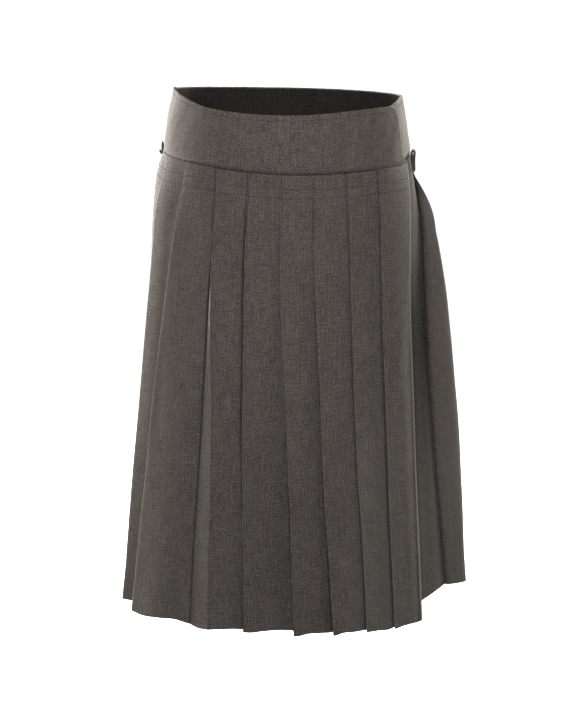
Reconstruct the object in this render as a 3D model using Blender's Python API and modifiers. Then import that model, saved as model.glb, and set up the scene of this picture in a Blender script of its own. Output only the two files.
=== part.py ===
# Pleated wrap skirt, hollow as it is worn and open at the waist and the hem.
# Metres, +Z up, the front faces -Y, and the wearer's left is +X.
# The origin is the centre of the waist, where the wearer holds the skirt.
import math

import bmesh
import bpy
import numpy as np

for old in list(bpy.data.objects):
    bpy.data.objects.remove(old, do_unlink=True)


def table(names, rows, unit=1.0):
    # One array for each named column
    columns = zip(names.split(), zip(*rows))
    return {name: unit * np.array(column, dtype=float) for name, column in columns}


# Driving sizes
HEM_DROP = 0.592            # waist down to the level hem
SEAM_DROP = 0.070           # waist down to the seam under the yoke
UPPER_DROP = 0.165          # heights at which the folds are placed, with the seam and the hem
MIDDLE_DROP = 0.360
RELEASE_DROP = 0.098        # the pleats are pressed and stitched flat down to here
YOKE_WALL = 0.0018          # cloth, interfacing and facing
SKIRT_WALL = 0.0011
PLEAT_PITCH = 0.0016        # middle to middle of two pressed layers
SEAM_GAP = 0.0003
ROUNDNESS = 2.15            # 2 is an ellipse, more is squarer
MM = 0.001

# Outline of the body at each drop: half widths to -X and +X, depths to the front and back
BODY = table("drop minus_x plus_x front back", [
    (0, 128.6, 128.4, 98.5, 94.0),
    (24, 134.1, 131.2, 100.0, 97.5),
    (47, 137.8, 133.6, 101.0, 100.8),
    (70, 140.3, 136.2, 101.8, 104.0),
    (96, 146.0, 140.8, 103.0, 108.5),
    (130, 149.6, 145.6, 104.8, 113.5),
    (220, 154.2, 150.0, 109.0, 121.5),
    (400, 166.4, 163.0, 118.0, 129.0),
    (592, 181.2, 180.0, 126.0, 135.0),
], MM)

# Heights of the rim and of the seam under the yoke, against the bearing from the front
FRONT_EDGES = table("bearing rim seam", [
    (-110, -0.0010, -0.0690),
    (-82, 0.0078, -0.0660),
    (-65, 0.0061, -0.0639),
    (-45, 0.0000, -0.0637),
    (-28, -0.0022, -0.0664),
    (0, -0.0038, -0.0700),
    (35, -0.0014, -0.0703),
    (57, -0.0021, -0.0716),
    (75, -0.0060, -0.0750),
])
BACK_EDGES = table("bearing rim seam", [
    (30, -0.0020, -0.0690),
    (73, -0.0004, -0.0692),
    (82, -0.0010, -0.0695),
    (92, -0.0040, -0.0702),
    (105, -0.0083, -0.0718),
    (120, -0.0117, -0.0745),
    (150, -0.0154, -0.0790),
    (180, -0.0155, -0.0810),
    (200, -0.0136, -0.0800),
    (230, -0.0073, -0.0745),
    (250, -0.0014, -0.0690),
    (278, 0.0078, -0.0660),
])

# Knife pleats in the order they lie round the body, in millimetres. A fold edge lies at an arc
# round the outline from the centre front, given at the seam, above the hip, half way down and at
# the hem. The tuck is how far the inner fold lies behind the edge, less than nothing where the
# pleat has swung open. The edge stands off the outline, and the inner fold rests off it. Early is
# how much further the edge stands out just below the release, and belly is how far the panel
# after it swells at the hem.
PLEAT_COLUMNS = ("seam upper middle hem tuck_seam tuck_upper tuck_middle tuck_hem "
                 "stand_upper stand_middle stand_hem rest_upper rest_middle rest_hem early belly")
EDGE_ARCS = "seam upper middle hem"
TUCKS = "tuck_seam tuck_upper tuck_middle tuck_hem"
FRONT_PLEATS = table(PLEAT_COLUMNS, [
    (-170.0, -173.5, -191.0, -213.0, 18, 16, 12, 8, 6.4, 13.1, 15.8, -0.6, -0.4, 0.0, 1.6, -1.2),
    (-124.0, -139.0, -164.2, -189.5, 16, 14, 9.5, 4, 4.2, 11.0, 15.5, -0.8, -1.0, -1.0, 0, 2.2),
    (-81.2, -86.4, -85.5, -89.2, 10, -2.5, -15, -26, 3.2, 7.5, 10.5, -0.8, -1.0, -1.0, 0, 2.2),
    (-44.8, -48.5, -50.8, -50.8, 20, 18, 13, 6, 3.0, 6.8, 9.5, -0.8, -1.0, -1.0, 0, 2.2),
    (-9.0, -9.5, -3.0, 5.5, 20, 18, 14, 9, 4.6, 13.0, 20.0, -0.6, -0.4, 0.0, 0, 2.2),
    (26.3, 27.9, 34.4, 46.8, 20, 18, 14.5, 11, 4.6, 13.0, 20.0, -0.4, 1.0, 3.5, 0, 2.2),
    (63.0, 66.8, 71.8, 83.8, 20, 18, 15, 12, 4.4, 12.5, 18.5, 0.0, 4.0, 8.0, 0, 2.2),
    (102.4, 104.6, 106.8, 116.0, 20, 18, 15, 12, 4.2, 11.5, 16.0, 0.0, 4.5, 8.0, 0, 0.6),
], MM)
BACK_PLEATS = table(PLEAT_COLUMNS, [
    (206.0, 224.0, 252.0, 281.0, 16, 0, -9, -3, 20.0, 36.2, 32.6, 2.4, 2.0, 5.5, 3.6, 2.2),
    (249.0, 269.0, 299.0, 334.0, 18, 16, 13, 10, 3.8, 9.5, 13.0, -0.6, -0.4, 0.0, 0, 2.2),
    (287.0, 308.0, 342.0, 382.0, 18, 16, 11.5, 6, 4.4, 12.0, 16.5, -0.6, 0.0, 1.0, 0, 2.2),
    (325.0, 350.0, 388.0, 433.0, 18, 16, 13, 10, 3.2, 8.5, 12.0, -0.6, -0.4, 0.0, 0, 2.2),
    (363.0, 391.0, 432.0, 482.0, 18, 15, 9.5, 3, 4.6, 13.0, 17.5, -0.8, -1.0, -1.0, 0, 2.2),
    (401.0, 432.0, 477.0, 534.0, 18, 16, 13, 11, 3.4, 9.0, 13.0, -0.6, -0.4, 0.0, 0, 2.2),
    (439.0, 473.0, 523.0, 586.0, 18, 16, 12, 8, 4.0, 11.0, 15.0, -0.6, 0.0, 1.0, 0, 2.2),
    (477.0, 514.0, 568.0, 636.0, 18, 16, 13, 10, 3.2, 8.5, 12.0, -0.6, -0.4, 0.0, 0, 2.2),
    (515.0, 555.0, 613.0, 687.0, 18, 16, 12, 8, 3.4, 9.0, 12.5, -0.6, -0.4, 0.0, 0, 2.2),
], MM)
FOLD_CLEAR = 0.003          # a panel's own points keep this far from the folds beside them
EDGE_COVER = 1.5 * PLEAT_PITCH   # a panel's end lies this far inside the next fold edge
LOOSE_TURN = 0.4            # most of a shallow fold's depth that its rounding takes up

# Free and seamed ends of the pleated cloth, as arcs at the same four heights
SIDE_SEAM = (-0.2220, -0.2370, -0.2600, -0.2840)
SIDE_STAND = 0.003          # the cloth beside the side seam stands this far off the outline
SIDE_RISE = 0.010           # and comes out to that over this height below the yoke
SIDE_HOLD = 3.0             # a higher power keeps it out for longer before it dips under the pleat
APRON_EDGE = (0.1600, 0.1508, 0.1492, 0.1536)
APRON_EDGE_STAND = 0.012    # at the hem
UNDER_EDGE = (0.0950, 0.0940, 0.0960, 0.1000)
UNDER_LAYER_SINK = 0.0034   # the under layer lies inside the outline where the apron covers it
HANG_FROM = 0.100           # below this drop the under layer leaves the body
HANG_FREE = 0.260           # and below this one it hangs straight to its first pleat

SIDE_SEAM_BEARING = -98.0   # yoke seam on the wearer's right
YOKE_EDGE = (65.0, 68.5)    # bearing of the wrap's free edge on the yoke, at the rim and the seam
UNDER_YOKE_EDGE = 36.0
WRAP_RUN = 24.0             # degrees over which the under yoke comes out to the outline

# Strips of cloth folded into the seam at each hip, tapering downwards. The depths are how far
# one stands out at its top and its foot, and clear is the room for the cloth beneath it.
TAB_WIDTH = 0.010
TAB_ROUNDING = 0.0006
TABS = table("bearing top height head foot clear", [
    (84.0, -0.0632, 0.0240, 0.0070, 0.0026, 0.0004),
    (-91.0, -0.0575, 0.0120, 0.0026, 0.0024, 0.0016),
])
TAB_NAMES = ("hip_tab_left", "hip_tab_right")

SKIRT_DROPS = (0.070, 0.086, 0.098, 0.112, 0.132, 0.165, 0.220, 0.310, 0.440, 0.592)
PANEL_COLUMNS = 3           # points across the panel between two folds
UNDER_COLUMNS = 7           # points across the plain panel beneath the apron
ARC_RANGE = (-190.0, 370.0)     # bearings over which arcs are measured, and how many
ARC_COUNT = 1681
YOKE_ROWS = 4
YOKE_STEP = 6.0             # degrees between two columns of the yoke
TAB_ROWS = 4

CLOTH_COLOUR = (0.105, 0.092, 0.081, 1.0)
TAB_COLOUR = (0.085, 0.074, 0.065, 1.0)
CLOTH_ROUGHNESS = 0.85


def smooth(x, xs, ys):
    # Cubic through the points of a table, with each slope taken from the neighbours
    x = np.clip(x, xs[0], xs[-1])
    slopes = np.gradient(ys, xs)
    i = np.clip(np.searchsorted(xs, x, side="right") - 1, 0, len(xs) - 2)
    step = xs[i + 1] - xs[i]
    t = (x - xs[i]) / step
    return ((1 + 2 * t) * (1 - t) ** 2 * ys[i] + t ** 2 * (3 - 2 * t) * ys[i + 1]
            + step * (t * (1 - t) ** 2 * slopes[i] - t ** 2 * (1 - t) * slopes[i + 1]))


def body(drop, side):
    return smooth(drop, BODY["drop"], BODY[side])


def signed_power(value, power):
    return np.sign(value) * np.abs(value) ** power


def on_body(bearing, drop, out):
    # A point at a bearing in radians, out metres off the outline of the body
    across = np.sin(bearing)
    along = np.cos(bearing)
    wide = np.where(across >= 0, body(drop, "plus_x"), body(drop, "minus_x"))
    deep = np.where(along >= 0, body(drop, "front"), body(drop, "back"))
    power = 2 / ROUNDNESS
    x = wide * signed_power(across, power)
    y = -deep * signed_power(along, power)
    normal_x = signed_power(across, 2 - power) / wide
    normal_y = -signed_power(along, 2 - power) / deep
    length = np.hypot(normal_x, normal_y)
    return x + out * normal_x / length, y + out * normal_y / length


def arc_table(drop):
    # Bearings and the arc length from the centre front to each
    bearings = np.radians(np.linspace(*ARC_RANGE, ARC_COUNT))
    x, y = on_body(bearings, drop, 0.0)
    arcs = np.concatenate([[0.0], np.cumsum(np.hypot(np.diff(x), np.diff(y)))])
    return bearings, arcs - np.interp(0.0, bearings, arcs)


def down(values, drop):
    # A value given at the seam, above the hip, half way down and at the hem
    drops = np.array([SEAM_DROP, UPPER_DROP, MIDDLE_DROP, HEM_DROP])
    return float(smooth(drop, drops, np.array(values, dtype=float)))


def of_pleat(pleats, i, words):
    return [pleats[word][i] for word in words.split()]


def opening(pleats, i, word, pressed, drop):
    # Distance off the outline: as pressed down to the release, then as the table says
    drops = np.array([RELEASE_DROP, UPPER_DROP, MIDDLE_DROP, HEM_DROP])
    levels = [pressed] + of_pleat(pleats, i, f"{word}_upper {word}_middle {word}_hem")
    return float(smooth(drop, drops, np.array(levels)))


def folds(pleats, drop):
    # Inner fold and fold edge of each pleat at one drop, as arc and distance off the outline
    half = PLEAT_PITCH / 2
    result = []
    for i in range(len(pleats["seam"])):
        edge = down(of_pleat(pleats, i, EDGE_ARCS), drop)
        tuck = down(of_pleat(pleats, i, TUCKS), drop)
        rise = (drop - RELEASE_DROP) / (UPPER_DROP - RELEASE_DROP)
        edge_out = opening(pleats, i, "stand", half, drop)
        edge_out += pleats["early"][i] * math.sin(math.pi * min(max(rise, 0.0), 1.0))
        inner_out = opening(pleats, i, "rest", -half, drop)
        share = (edge_out - half) / (pleats["stand_hem"][i] - half)
        result.append({"edge": (edge, edge_out), "inner": (edge + tuck, inner_out),
                       "share": min(share, 1.0), "belly": pleats["belly"][i]})
    return result


def turn(fold):
    # Six points of the section: round the inner fold, along the return and round the fold edge.
    # Closed is 1 while the return lies flat beneath its panel, and 0 once it stands away from it.
    inner = np.array(fold["inner"])
    edge = np.array(fold["edge"])
    depth = np.linalg.norm(edge - inner)
    back = (edge - inner) / depth
    closed = min(max(-2 * back[0] - 1, 0.0), 1.0)
    half = PLEAT_PITCH / 2
    loose = min(PLEAT_PITCH, LOOSE_TURN * depth)
    inner_before = closed * np.array([-half, -half]) + (1 - closed) * np.array([-loose, 0.0])
    inner_after = closed * np.array([-half, half]) + (1 - closed) * loose * back
    edge_before = closed * np.array([half, -half]) - (1 - closed) * loose * back
    edge_after = closed * np.array([half, half]) + (1 - closed) * np.array([loose, 0.0])
    return [inner + inner_before, inner, inner + inner_after,
            edge + edge_before, edge, edge + edge_after]


def panel(start, end, behind, before, share, count=PANEL_COLUMNS, ceiling=math.inf, hold=1.0,
          belly=0.0):
    # Points of a panel from a fold edge to the next inner fold, between the arcs behind and before.
    # Pressed flat it runs evenly from one to the other, and a loose one swells. The last point
    # stays below the ceiling, so that the panel slips under the next edge. A hold above 1 keeps
    # the panel at its start's height for longer.
    points = []
    for step in np.linspace(0.0, 1.0, count):
        place = behind + step * (before - behind)
        pressed = start[1] + step ** hold * (end[1] - start[1])
        part = (place - start[0]) / (end[0] - start[0])
        loose = start[1] + part * (end[1] - start[1]) + 4 * belly * share * part * (1 - part)
        points.append(np.array([place, (1 - share) * pressed + share * loose]))
    points[-1][1] = min(points[-1][1], ceiling)
    return points


def pleated_section(pleats, drop, first, last, count=PANEL_COLUMNS, hold=1.0):
    # The cloth in one level cut, as arcs and distances off the outline, from one end to the other.
    # The count is the points on the plain stretch before the first pleat, and the hold is its own.
    cloth = folds(pleats, drop)
    turns = [turn(fold) for fold in cloth]
    start = np.array(first)
    section = [start]
    ahead = min(cloth[0]["edge"][0], cloth[0]["inner"][0]) - FOLD_CLEAR
    behind = start[0] + (ahead - start[0]) / (count + 1)
    section += panel(start, turns[0][0], behind, ahead, 0.0, count, hold=hold)
    section += turns[0]
    for before, fold, bend in zip(cloth, cloth[1:], turns[1:]):
        ahead = min(fold["edge"][0], fold["inner"][0]) - FOLD_CLEAR
        behind = max(before["edge"][0], before["inner"][0]) + FOLD_CLEAR
        share = (fold["share"] + before["share"]) / 2
        ceiling = fold["edge"][1] - EDGE_COVER
        section += panel(section[-1], bend[0], behind, ahead, share, ceiling=ceiling,
                         belly=before["belly"])
        section += bend
    end = np.array(last)
    behind = max(cloth[-1]["edge"][0], cloth[-1]["inner"][0]) + FOLD_CLEAR
    section += panel(section[-1], end, behind, end[0] - FOLD_CLEAR, cloth[-1]["share"],
                     belly=cloth[-1]["belly"])
    section.append(end)
    return section


def grid_object(name, rows, wall):
    # Open cloth from rows of points, thickened to a closed wall
    width = len(rows[0])
    points = [tuple(point) for row in rows for point in row]
    faces = []
    for r in range(len(rows) - 1):
        for c in range(width - 1):
            a = r * width + c
            faces.append((a, a + width, a + width + 1, a + 1))
    mesh = bpy.data.meshes.new(name)
    mesh.from_pydata(points, [], faces)
    mesh.update()
    cloth = bpy.data.objects.new(name, mesh)
    parts.objects.link(cloth)
    thick = cloth.modifiers.new("wall", "SOLIDIFY")
    thick.thickness = wall
    thick.offset = 0.0
    thick.use_even_offset = True
    finish(cloth, CLOTH_COLOUR)


def finish(piece, colour):
    material = bpy.data.materials.new(piece.name + "_cloth")
    material.use_nodes = True
    shader = material.node_tree.nodes["Principled BSDF"]
    shader.inputs["Base Color"].default_value = colour
    shader.inputs["Roughness"].default_value = CLOTH_ROUGHNESS
    shader.inputs["Metallic"].default_value = 0.0
    piece.data.materials.append(material)


def yoke(name, edges, first, last, out):
    # A band of the yoke between two ends, each given as its bearings at the rim and at the seam
    columns = int(round((last[1] - first[1]) / YOKE_STEP)) + 1
    rows = []
    for r in range(YOKE_ROWS + 1):
        share = r / YOKE_ROWS
        ends = [(1 - share) * end[0] + share * end[1] for end in (first, last)]
        row = []
        for degrees in np.linspace(ends[0], ends[1], columns):
            top = smooth(degrees, edges["bearing"], edges["rim"])
            bottom = smooth(degrees, edges["bearing"], edges["seam"])
            z = float((1 - share) * top + share * bottom)
            x, y = on_body(math.radians(degrees), -z, out(degrees))
            row.append((float(x), float(y), z))
        rows.append(row)
    grid_object(name, rows, YOKE_WALL)


def skirt(name, edges, section_at, hanging=0):
    # Pleated cloth, level cut by level cut from the seam down to the hem. The first points, as
    # many as hanging says, are drawn towards the straight line between their ends.
    rows = []
    for drop in SKIRT_DROPS:
        share = (drop - SEAM_DROP) / (HEM_DROP - SEAM_DROP)
        bearings, arcs = arc_table(drop)
        row = []
        for arc, out in section_at(drop):
            bearing = float(np.interp(arc, arcs, bearings))
            seam = float(smooth(math.degrees(bearing), edges["bearing"], edges["seam"]))
            z = (1 - share) * (seam - SEAM_GAP) - share * HEM_DROP
            x, y = on_body(bearing, -z, out)
            row.append(np.array([float(x), float(y), z]))
        free = min(max((drop - HANG_FROM) / (HANG_FREE - HANG_FROM), 0.0), 1.0)
        for i in range(1, hanging):
            straight = row[0] + i / hanging * (row[hanging] - row[0])
            row[i] = row[i] + free * (straight - row[i])
        rows.append(row)
    grid_object(name, rows, SKIRT_WALL)


def side_seam(drop, arc_before=0.0):
    # The front and the back meet here. The arc before is a whole turn less the gap for the back.
    stand = SIDE_STAND * min((drop - SEAM_DROP) / SIDE_RISE, 1.0)
    return (arc_before + down(SIDE_SEAM, drop), stand)


def front_section(drop):
    share = (drop - SEAM_DROP) / (HEM_DROP - SEAM_DROP)
    last = (down(APRON_EDGE, drop), share * APRON_EDGE_STAND)
    return pleated_section(FRONT_PLEATS, drop, side_seam(drop), last, hold=SIDE_HOLD)


def back_section(drop):
    # From beneath the apron round the back to the side seam
    bearings, arcs = arc_table(drop)
    whole_turn = np.interp(2 * math.pi, bearings, arcs)
    first = (down(UNDER_EDGE, drop), -UNDER_LAYER_SINK)
    last = side_seam(drop, whole_turn - SEAM_GAP)
    return pleated_section(BACK_PLEATS, drop, first, last, UNDER_COLUMNS)


def tab(name, bearing, top, height, head, foot, clear):
    # Level rectangles against the cloth, from the folded head to the foot
    cage = bmesh.new()
    half_turn = TAB_WIDTH / 2 / body(-top, "plus_x")
    rings = []
    for share in np.linspace(0.0, 1.0, TAB_ROWS):
        z = float(top - share * height)
        depth = head + share * (foot - head)
        ring = []
        for side, out in ((-1, clear), (1, clear), (1, clear + depth), (-1, clear + depth)):
            x, y = on_body(math.radians(bearing) + side * half_turn, -z, out)
            ring.append(cage.verts.new((float(x), float(y), z)))
        rings.append(ring)
    for upper, lower in zip(rings, rings[1:]):
        for i in range(4):
            cage.faces.new((upper[i], upper[i - 1], lower[i - 1], lower[i]))
    cage.faces.new(rings[0])
    cage.faces.new(rings[-1][::-1])
    bmesh.ops.recalc_face_normals(cage, faces=cage.faces)
    mesh = bpy.data.meshes.new(name)
    cage.to_mesh(mesh)
    cage.free()
    piece = bpy.data.objects.new(name, mesh)
    parts.objects.link(piece)
    rounding = piece.modifiers.new("rounding", "BEVEL")
    rounding.width = TAB_ROUNDING
    rounding.segments = 2
    finish(piece, TAB_COLOUR)


def under_yoke_out(degrees):
    # The under yoke lies inside the front yoke and comes out to the outline past its edge
    inside = -(YOKE_WALL + 2 * SEAM_GAP)
    return float(np.interp(degrees, [YOKE_EDGE[1], YOKE_EDGE[1] + WRAP_RUN], [inside, 0.0]))


def build():
    side = (SIDE_SEAM_BEARING, SIDE_SEAM_BEARING)
    yoke("front_yoke", FRONT_EDGES, side, YOKE_EDGE, lambda degrees: 0.0)
    back_end = SIDE_SEAM_BEARING + 360.0 - math.degrees(SEAM_GAP / float(body(0.0, "minus_x")))
    yoke("back_yoke", BACK_EDGES, (UNDER_YOKE_EDGE, UNDER_YOKE_EDGE), (back_end, back_end),
         under_yoke_out)
    skirt("front_skirt", FRONT_EDGES, front_section)
    skirt("back_skirt", BACK_EDGES, back_section, UNDER_COLUMNS + 1)
    for i, name in enumerate(TAB_NAMES):
        tab(name, *(float(TABS[key][i]) for key in TABS))


parts = bpy.data.collections.new("pleated_skirt")
bpy.context.scene.collection.children.link(parts)
build()
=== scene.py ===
import math

import bpy
import numpy as np
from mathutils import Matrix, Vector


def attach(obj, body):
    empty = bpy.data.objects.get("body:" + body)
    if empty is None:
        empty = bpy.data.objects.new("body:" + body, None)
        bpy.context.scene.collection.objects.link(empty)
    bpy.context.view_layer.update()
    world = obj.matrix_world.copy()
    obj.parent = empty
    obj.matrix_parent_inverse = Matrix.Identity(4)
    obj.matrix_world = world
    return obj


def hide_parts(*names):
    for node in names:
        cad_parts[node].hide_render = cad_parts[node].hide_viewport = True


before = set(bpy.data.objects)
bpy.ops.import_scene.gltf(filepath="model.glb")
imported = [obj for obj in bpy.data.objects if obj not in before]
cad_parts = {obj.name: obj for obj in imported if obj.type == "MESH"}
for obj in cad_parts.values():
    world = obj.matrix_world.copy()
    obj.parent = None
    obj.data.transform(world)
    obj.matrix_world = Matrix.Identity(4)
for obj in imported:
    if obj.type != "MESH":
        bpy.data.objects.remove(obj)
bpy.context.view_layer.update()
print("the frame is in")

mm = 0.001


def makeTable(names, rows, units):
    # one array for each named column
    values = np.array(rows, dtype=float) * units
    return dict(zip(names.split(), values.T.copy()))


def addObject(name, data):
    made = bpy.data.objects.new(name, data)
    bpy.context.scene.collection.objects.link(made)
    return made


def setInputs(node, values):
    for name, value in values.items():
        node.inputs[name].default_value = value


def ramp(place, start, run):
    # 0 up to the start and 1 after the run; a negative run goes the other way
    return np.clip((place - start) / run, 0.0, 1.0)


def bell(place, middle, width):
    return np.exp(-((place - middle) / width) ** 2)


def band(place, sizes):
    # a soft band, from how strong it is, where its middle lies and how wide it is
    strength, middle, width = sizes
    return strength * bell(place, middle, width)


def unit(vectors):
    return vectors / np.linalg.norm(vectors, axis=-1, keepdims=True)


def lengthsAlong(points):
    return np.concatenate([[0.0], np.cumsum(np.linalg.norm(np.diff(points, axis=0), axis=1))])


# The camera stands at the photograph's place and looks a little down
cameraPlace = {
    "location": (-0.0045, -4.6, 1.02),
    "lookDown": 16.16,  # degrees
    "lens": 209.6,  # mm on a sensor 36 mm wide
    "sensor": 36.0,
}


def makeCamera():
    data = bpy.data.cameras.new("camera")
    data.lens = cameraPlace["lens"]
    data.sensor_width = cameraPlace["sensor"]
    camera = addObject("camera", data)
    camera.location = cameraPlace["location"]
    camera.rotation_euler = (math.radians(90 - cameraPlace["lookDown"]), 0, 0)
    bpy.context.scene.camera = camera


makeCamera()
print("camera set")

# The form that fills the skirt: half widths and depths at each drop below the waist, in mm
form = makeTable("drop minusX plusX front back", [
    (0, 128.6, 128.4, 98.5, 94),
    (24, 134.1, 131.2, 100, 97.5),
    (47, 137.8, 133.6, 101, 100.8),
    (70, 140.3, 136.2, 101.8, 104),
    (96, 146, 140.8, 103, 108.5),
    (130, 149.6, 145.6, 104.8, 113.5),
    (220, 154.2, 150, 109, 121.5),
    (400, 166.4, 163, 118, 129),
    (592, 181.2, 180, 126, 135),
], mm)
roundness = 2.15  # 2 is an ellipse
arcBearings = np.radians(np.linspace(-190.0, 370.0, 1681))

cut = {
    "seamDrop": 0.07,
    "upperDrop": 0.165,
    "middleDrop": 0.36,
    "hemDrop": 0.592,
    "releaseDrop": 0.098,  # the pleats are stitched flat down to here
    "seamGap": 0.0003,
    "layerPitch": 0.0011,  # middle to middle of two pressed layers
    "foldClear": 0.0022,  # from a fold to the next point of a panel
    "looseTurn": 0.4,  # size of an open fold's turn, as a share of its depth
    "freeRun": 0.15,  # the folds hang fully free this far below the release
    "swayLength": 0.31,
    "frontEnds": 68.0,  # degrees from the front at which the sides begin
    "frontFades": 22.0,
}
skirtLength = cut["hemDrop"] - cut["seamDrop"]
heightDrops = np.array([cut["seamDrop"], cut["upperDrop"], cut["middleDrop"], cut["hemDrop"]])

# Heights of the rim and of the seam under the yoke in mm, at each bearing from the front
frontEdges = makeTable("bearing rim seam", [
    (-110, -1, -69), (-82, 7.8, -66), (-65, 6.1, -63.9), (-45, 0, -63.7), (-28, -2.2, -66.4),
    (0, -3.8, -70), (35, -1.6, -70.3), (53, -2.7, -71.3), (60, -4.2, -71.9), (65, -8.2, -72.8),
    (75, -9.5, -75),
], (1, mm, mm))
backEdges = makeTable("bearing rim seam", [
    (30, -3.6, -69), (53, -4.5, -69.1), (61, -4.3, -69.2), (68, -2.2, -69.2), (75, -0.8, -69.3),
    (82, -1, -69.5), (92, -4, -70.2), (105, -8.3, -71.8), (120, -11.7, -74.5), (150, -15.4, -79),
    (180, -15.5, -81), (200, -13.6, -80), (230, -7.3, -74.5), (250, -1.4, -69), (278, 7.8, -66),
], (1, mm, mm))


def smooth(x, xs, ys):
    # cubic through the points of a table, with each slope from the neighbours
    x = np.clip(x, xs[0], xs[-1])
    slopes = np.gradient(ys, xs)
    i = np.clip(np.searchsorted(xs, x, side="right") - 1, 0, len(xs) - 2)
    step = xs[i + 1] - xs[i]
    t = (x - xs[i]) / step
    return ((1 + 2 * t) * (1 - t) ** 2 * ys[i] + t ** 2 * (3 - 2 * t) * ys[i + 1]
            + step * (t * (1 - t) ** 2 * slopes[i] - t ** 2 * (1 - t) * slopes[i + 1]))


def rimAndSeam(edges, degrees):
    return [smooth(degrees, edges["bearing"], edges[name]) for name in ("rim", "seam")]


def signedPower(value, power):
    return np.sign(value) * np.abs(value) ** power


def onForm(bearing, drop, out):
    # points at bearings in radians, out metres off the form
    across = np.sin(bearing)
    along = np.cos(bearing)
    sides = ("minusX", "plusX", "front", "back")
    minusX, plusX, front, back = (smooth(drop, form["drop"], form[side]) for side in sides)
    wide = np.where(across >= 0, plusX, minusX)
    deep = np.where(along >= 0, front, back)
    power = 2 / roundness
    normalX = signedPower(across, 2 - power) / wide
    normalY = -signedPower(along, 2 - power) / deep
    length = np.hypot(normalX, normalY)
    return (wide * signedPower(across, power) + out * normalX / length,
            -deep * signedPower(along, power) + out * normalY / length)


def arcsAt(drop):
    # arc length from the centre front to each of the arc bearings
    x, y = onForm(arcBearings, drop, 0.0)
    arcs = np.concatenate([[0.0], np.cumsum(np.hypot(np.diff(x), np.diff(y)))])
    return arcs - np.interp(0.0, arcBearings, arcs)


def atHeights(values, drop):
    return float(smooth(drop, heightDrops, np.array(values, dtype=float)))


def wobble(seed, place, length):
    # a slow, uneven wave between about -1 and 1, the same in each run
    phase = 2.399 * seed
    return (0.55 * np.sin(2 * math.pi * place / length + phase)
            + 0.3 * np.sin(2 * math.pi * place / (0.57 * length) + 2.3 * phase + 1.1)
            + 0.15 * np.sin(2 * math.pi * place / (0.31 * length) + 3.9 * phase + 0.4))


# Knife pleats in mm. The fold edge's arc is given at four heights, then how far behind it the
# inner fold is tucked. How far the edge stands off the form and where the inner fold rests follow
# at the three lower heights. Early is how much further the edge stands out just below the stitching,
# and belly how far the panel after it swells at the hem.
def makePleats(rows):
    spans = {"edge": slice(0, 4), "tuck": slice(4, 8), "stand": slice(8, 11), "rest": slice(11, 14),
             "early": 14, "belly": 15}
    return [{name: mm * np.array(row, dtype=float)[span] for name, span in spans.items()} for row in rows]


frontPleats = makePleats([
    (-170, -173.5, -191, -213, 18, 16, 12, 8, 6.4, 13.1, 15.8, -0.6, -0.4, 0, 1.6, -3.2),
    (-124, -139, -164.2, -189.5, 16, 14, 9.5, 4, 4.2, 11, 15.5, -0.8, -1, -1, 0, 2.2),
    (-81.2, -86.4, -85.5, -89.2, 10, 1, -15, -26, 3.2, 7.5, 10.5, -0.8, -1, -1, 0, 2.2),
    (-44.8, -48.5, -50.8, -50.8, 20, 18, 13, 6, 3, 6.8, 9.5, -0.8, -1, -1, 0, 2.2),
    (-9, -9.5, -3, 5.5, 20, 18, 14, 9, 4.6, 13, 20, -0.6, -0.4, 0, 0, 2.2),
    (26.3, 27.9, 34.6, 46.8, 20, 18, 14.5, 11, 2.8, 10.5, 19, -0.4, 1, 3.5, 0, 2.2),
    (63, 67.2, 72.4, 83.8, 20, 18, 15, 12, 2.4, 10.2, 17.8, 0, 4, 8, 0, 2.2),
    (102.4, 105.2, 107.8, 116.3, 20, 18, 15, 12, 2.2, 9.4, 15.2, 0, 4.5, 8, 0, 0.6),
])
backPleats = makePleats([
    (206, 224, 252, 281, 16, 0, -9, -3, 20, 36.2, 32.6, 2.4, 2, 5.5, 3.6, 2.2),
    (249, 269, 299, 334, 18, 16, 13, 10, 3.8, 9.5, 13, -0.6, -0.4, 0, 0, 2.2),
    (287, 308, 342, 382, 18, 16, 11.5, 6, 4.4, 12, 16.5, -0.6, 0, 1, 0, 2.2),
    (325, 350, 388, 433, 18, 16, 13, 10, 3.2, 8.5, 12, -0.6, -0.4, 0, 0, 2.2),
    (363, 391, 432, 482, 18, 15, 9.5, 3, 4.6, 13, 17.5, -0.8, -1, -1, 0, 2.2),
    (401, 432, 477, 534, 18, 16, 13, 11, 3.4, 9, 13, -0.6, -0.4, 0, 0, 2.2),
    (439, 473, 523, 586, 18, 16, 12, 8, 4, 11, 15, -0.6, 0, 1, 0, 2.2),
    (477, 514, 568, 636, 18, 16, 13, 10, 3.2, 8.5, 12, -0.6, -0.4, 0, 0, 2.2),
    (515, 555, 613, 687, 18, 16, 12, 8, 3.4, 9, 12.5, -0.6, -0.4, 0, 0, 2.2),
])


def standing(values, pressed, drop):
    # distance off the form: as pressed down to the release, then as the table says
    drops = np.array([cut["releaseDrop"], *heightDrops[1:]])
    return float(smooth(drop, drops, np.array([pressed, *values])))


def foldsAt(pleats, drop):
    # inner fold and fold edge of each pleat at one drop, as arc and distance off the form
    half = cut["layerPitch"] / 2
    free = ramp(drop, cut["releaseDrop"], cut["freeRun"])
    opening = ramp(drop, cut["releaseDrop"], cut["upperDrop"] - cut["releaseDrop"])
    folds = []
    for i, pleat in enumerate(pleats):
        edge = atHeights(pleat["edge"], drop)
        edge += pleated["sway"] * free * wobble(i + 1, drop, cut["swayLength"])
        inner = edge + atHeights(pleat["tuck"], drop)
        edgeOut = standing(pleat["stand"], half, drop) + pleat["early"] * math.sin(math.pi * opening)
        share = min((edgeOut - half) / (pleat["stand"][2] - half), 1.0)
        folds.append({"edge": (edge, edgeOut), "inner": (inner, standing(pleat["rest"], -half, drop)),
                      "share": share, "belly": pleat["belly"]})
    return folds


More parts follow.
